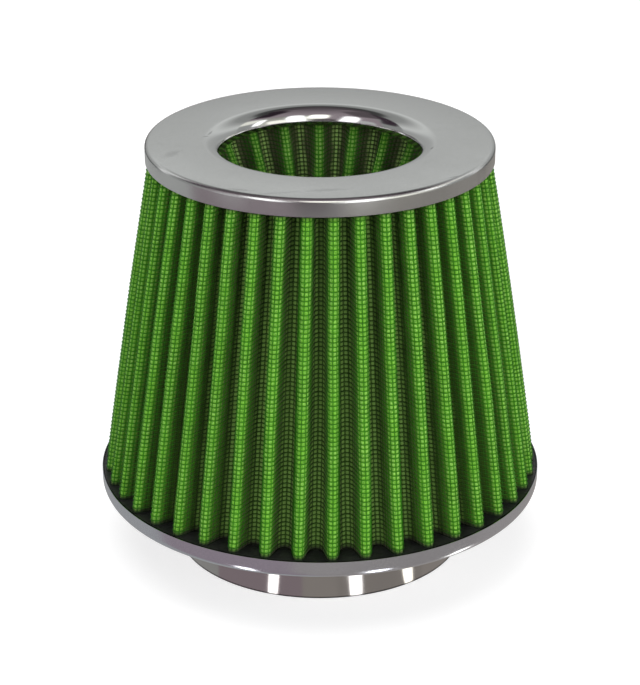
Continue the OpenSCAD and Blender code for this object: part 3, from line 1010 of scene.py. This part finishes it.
def card(name, azimuths, elevations, colour, distance, level_at, cover_at, step=CARD_STEP):
    """A curved reflecting card round the filter, which only shows in polished metal."""
    azimuths, elevations = (
        np.linspace(low, high, max(int((high - low) / step), 1) + 1) for low, high in (azimuths, elevations))
    azimuth, elevation = (a.ravel() for a in np.meshgrid(azimuths, elevations))
    a, e = np.radians(azimuth), np.radians(elevation)
    points = distance * np.column_stack((np.cos(e) * np.sin(a), -np.cos(e) * np.cos(a), np.sin(e)))
    mesh = bpy.data.meshes.new(name)
    mesh.from_pydata((points + CARD_MIDDLE).tolist(), [],
                     quad_grid(len(elevations), len(azimuths), False, False).tolist())
    for label, values in (("Level", level_at(azimuth, elevation)), ("Cover", cover_at(azimuth, elevation))):
        mesh.attributes.new(label, "FLOAT", "POINT").data.foreach_set("value", values.astype(np.float32))
    w, surface = stage_material(name)
    level, cover = (w.add("ShaderNodeAttribute", attribute_name=label).outputs["Fac"]
                    for label in ("Level", "Cover"))
    glow = w.out("ShaderNodeEmission", {"Color": colour, "Strength": level})
    clear = w.out("ShaderNodeBsdfTransparent")
    w.feed(surface, w.out("ShaderNodeMixShader", {0: cover, 1: clear, 2: glow}))
    mesh.materials.append(w.material)
    piece = linked(name, mesh)
    piece.visible_camera = piece.visible_diffuse = piece.visible_shadow = False
    piece.visible_transmission = piece.visible_volume_scatter = False


def band_card(name, azimuths, stops, colour, distance):
    """A band whose level changes with the elevation."""
    heights, levels = zip(*stops)
    card(f"card_{name}", azimuths, (heights[0], heights[-1]), colour, distance,
         lambda azimuth, elevation: np.interp(elevation, heights, levels),
         lambda azimuth, elevation: np.ones(len(azimuth)))


def patch_card(name, distance, edge, step, azimuth, elevation, half_width, half_height, lean, colour, level):
    """A soft-edged patch with round corners; lean shifts it sideways as it rises."""

    def cover(a, e):
        up = (e - elevation) / half_height
        across = (a - azimuth - lean * (e - elevation)) / half_width
        return eased(np.clip((1 + edge / 2 - np.sqrt(np.sqrt(across ** 4 + up ** 4))) / edge, 0, 1))

    rise = PATCH_REACH * half_height
    reach = PATCH_REACH * half_width + abs(lean) * PATCH_REACH * half_height
    card(f"card_{name}", (azimuth - reach, azimuth + reach), (elevation - rise, elevation + rise),
         colour, distance, lambda a, e: np.full(len(a), level), cover, step)


def build_cards():
    """Dark and bright cards that give the plating a room to mirror."""
    for name, band in BANDS.items():
        band_card(name, *band)
    for number, (name, patch) in enumerate(PATCHES.items()):
        patch_card(name, PATCH_FIRST - PATCH_GAP * number, PATCH_EDGE, CARD_STEP, *patch)
    for name, patch in NEAR_PATCHES.items():
        patch_card(name, NEAR, PATCH_EDGE, CARD_STEP, *patch)
    for name, window in LOW_WINDOWS.items():
        patch_card(name, LOW, LOW_EDGE, LOW_STEP, *window)


def lamp(name, size, power, place):
    """A soft lamp that lights the filter and isn't seen in its polish, where the cards are."""
    light = bpy.data.lights.new(name, "AREA")
    light.shape = "RECTANGLE"
    light.size, light.size_y = size
    light.energy = power
    holder = linked(name, light)
    holder.location = place
    holder.rotation_mode = "QUATERNION"
    holder.rotation_quaternion = (Vector(LAMP_TARGET) - Vector(place)).to_track_quat("-Z", "Y")
    holder.visible_glossy = False


def build_lamps(stage):
    """Tall lamps in front, wide ones behind and one above."""
    rows = [(f"window_{number}", azimuth, WINDOW_SIZE, share * stage.window_power)
            for number, (azimuth, share) in enumerate(WINDOW_LAMPS)]
    rows += [(f"fill_{number}", azimuth, FILL_SIZE, stage.fill_power)
             for number, azimuth in enumerate(FILL_LAMPS)]
    for name, azimuth, size, power in rows:
        a = math.radians(azimuth)
        lamp(name, size, power, (LAMP_AWAY * math.sin(a), -LAMP_AWAY * math.cos(a), LAMP_HEIGHT))
    lamp("overhead", OVERHEAD_SIZE, stage.overhead_power, OVERHEAD_PLACE)


def background_share(w):
    """One where a ray shows the background: from the camera, in gloss or through glass."""
    rays = w.add("ShaderNodeLightPath").outputs
    return w.larger(rays["Is Camera Ray"], w.larger(rays["Is Glossy Ray"], rays["Is Transmission Ray"]))


def build_world(stage):
    """Even light for the filter, and a white background for what shows it."""
    world = bpy.data.worlds.new("Filter studio")
    bpy.context.scene.world = world
    world.use_nodes = True
    world.node_tree.nodes.clear()
    w = Wiring(world.node_tree)
    even, white = (w.out("ShaderNodeBackground", {"Color": WHITE, "Strength": strength})
                   for strength in (stage.ambient, 1.0))
    mixed = w.out("ShaderNodeMixShader", {0: background_share(w), 1: even, 2: white})
    w.add("ShaderNodeOutputWorld", {"Surface": mixed})


def build_floor():
    """Pale paper that keeps the filter's shadow and isn't mirrored, because the cards are."""
    mesh = bpy.data.meshes.new("studio_floor")
    mesh.from_pydata([(x * FLOOR_REACH, y * FLOOR_REACH, -FLOOR_DROP)
                      for x, y in ((-1, -1), (1, -1), (1, 1), (-1, 1))], [], [(0, 1, 2, 3)])
    w, surface = stage_material("Studio floor")
    paper = w.out("ShaderNodeBsdfDiffuse", {"Color": FLOOR_TONE})
    glow = w.out("ShaderNodeEmission", {
        "Color": WHITE, "Strength": w.times(background_share(w), FLOOR_GLOW)})
    w.feed(surface, w.out("ShaderNodeAddShader", {0: paper, 1: glow}))
    mesh.materials.append(w.material)
    floor = linked("studio_floor", mesh)
    floor.visible_glossy = False


def build_camera():
    """The photograph's viewpoint: straight in front and looking down."""
    data = bpy.data.cameras.new("Filter camera")
    data.sensor_width = SENSOR
    data.lens = FOCAL_PIXELS * SENSOR / PICTURE_PIXELS
    data.clip_start, data.clip_end = 0.01, 50
    camera = linked("Filter camera", data)
    camera.location = (0, -CAMERA_AWAY, TOP_Z * MM + CAMERA_ABOVE_CAP)
    camera.rotation_euler = (math.radians(90 - CAMERA_DOWN), 0, 0)
    bpy.context.scene.camera = camera


# --- Operators ---


class AIRFILTER_OT_outer_screen(bpy.types.Operator):
    """Weave the outer screen of separate wires"""

    bl_idname = "air_filter.outer_screen"
    bl_label = "Outer Screen"

    def execute(self, context):
        sheet = context.scene.filter_sheet
        add_screen(sheet, outer_pack(sheet), "outer", OUTER_END_SHADE, seed_step=20,
                   rows=("rows_low", "rows_high"), counts=(7, 0, 6), levels=9)
        return {"FINISHED"}


class AIRFILTER_OT_inner_screen(bpy.types.Operator):
    """Weave the inner cone's screen of separate wires"""

    bl_idname = "air_filter.inner_screen"
    bl_label = "Inner Screen"

    def execute(self, context):
        sheet = context.scene.filter_sheet
        add_screen(sheet, inner_pack(sheet), "inner", INNER_END_SHADE, seed_step=30,
                   rows=("rows",), counts=(8, 0, 6), levels=8)
        return {"FINISHED"}


class AIRFILTER_OT_gauze(bpy.types.Operator):
    """Fold the oiled gauze of both packs"""

    bl_idname = "air_filter.gauze"
    bl_label = "Gauze"

    def execute(self, context):
        sheet = context.scene.filter_sheet
        for name, pack, step, look in (("outer", outer_pack(sheet), OUTER_GAUZE_STEP, OUTER_LOOK),
                                       ("inner", inner_pack(sheet), INNER_GAUZE_STEP, INNER_LOOK)):
            rows = int((pack.head[0] - pack.foot[0]) / step)
            add_folds(sheet, pack, f"{name}_gauze", SCREEN_T, SCREEN_T + GAUZE_T, rows, GAUZE_COUNTS,
                      gauze_material(sheet, pack, name, look), "green_gauze")
        return {"FINISHED"}


class AIRFILTER_OT_back_screens(bpy.types.Operator):
    """Fold the backing screens of both packs"""

    bl_idname = "air_filter.back_screens"
    bl_label = "Back Screens"

    def execute(self, context):
        sheet = context.scene.filter_sheet
        material = back_screen_material(sheet)
        for name, pack in (("outer", outer_pack(sheet)), ("inner", inner_pack(sheet))):
            add_folds(sheet, pack, f"{name}_back_screen", SCREEN_T + GAUZE_T, SHEET_T, BACK_ROWS,
                      BACK_COUNTS, material, "back_screen")
        return {"FINISHED"}


class AIRFILTER_OT_pressings(bpy.types.Operator):
    """Turn the plated cap and base pan and plate the dish"""

    bl_idname = "air_filter.pressings"
    bl_label = "Cap, Pan and Dish"

    def execute(self, context):
        metal = context.scene.filter_metal
        pan = pan_material(metal)
        add_piece("top_cap_plated", *lathe(cap_section()), cap_material(metal), "cap_chrome", "top_cap",
                  STEEL_SHARP)
        add_piece("base_pan_plated", *lathe(pan_section()), pan, "pan_chrome", "base_pan", STEEL_SHARP)
        dress(pan, "cone_dish")
        return {"FINISHED"}


class AIRFILTER_OT_potting(bpy.types.Operator):
    """Finish the potting resin and the seam strips"""

    bl_idname = "air_filter.potting"
    bl_label = "Potting and Strips"

    def execute(self, context):
        dress(resin_material(), "top_resin", "dish_resin", "base_resin")
        dress(strip_material(), "outer_seam_strip", "inner_seam_strip")
        return {"FINISHED"}


class AIRFILTER_OT_stage(bpy.types.Operator):
    """Set up the floor, lamps, reflecting cards and camera"""

    bl_idname = "air_filter.stage"
    bl_label = "Stage"

    def execute(self, context):
        stage = context.scene.filter_stage
        build_world(stage)
        build_floor()
        build_cards()
        build_lamps(stage)
        build_camera()
        context.scene.view_settings.view_transform = "Standard"
        return {"FINISHED"}


class AIRFILTER_PT_panel(bpy.types.Panel):
    """The filter's settings and its building steps"""

    bl_label = "Cone Air Filter"
    bl_idname = "AIRFILTER_PT_panel"
    bl_space_type = "VIEW_3D"
    bl_region_type = "UI"
    bl_category = "Air Filter"

    def draw(self, context):
        for group in (context.scene.filter_sheet, context.scene.filter_metal, context.scene.filter_stage):
            column = self.layout.column()
            for name in group.__annotations__:
                column.prop(group, name)
        for step in STEPS:
            self.layout.operator(step.bl_idname)


STEPS = (
    AIRFILTER_OT_pressings, AIRFILTER_OT_gauze, AIRFILTER_OT_back_screens, AIRFILTER_OT_outer_screen,
    AIRFILTER_OT_inner_screen, AIRFILTER_OT_potting, AIRFILTER_OT_stage)
GROUPS = {
    "filter_sheet": FilterSheetSettings, "filter_metal": FilterMetalSettings,
    "filter_stage": FilterStageSettings}


def register():
    for kind in (*GROUPS.values(), *STEPS, AIRFILTER_PT_panel):
        bpy.utils.register_class(kind)
    for name, kind in GROUPS.items():
        setattr(bpy.types.Scene, name, PointerProperty(type=kind))


def unregister():
    for name in GROUPS:
        delattr(bpy.types.Scene, name)
    for kind in reversed((*GROUPS.values(), *STEPS, AIRFILTER_PT_panel)):
        bpy.utils.unregister_class(kind)


def main():
    register()
    for step in STEPS:
        family, name = step.bl_idname.split(".")
        getattr(getattr(bpy.ops, family), name)()
    bpy.context.view_layer.update()


if __name__ == "__main__":
    main()
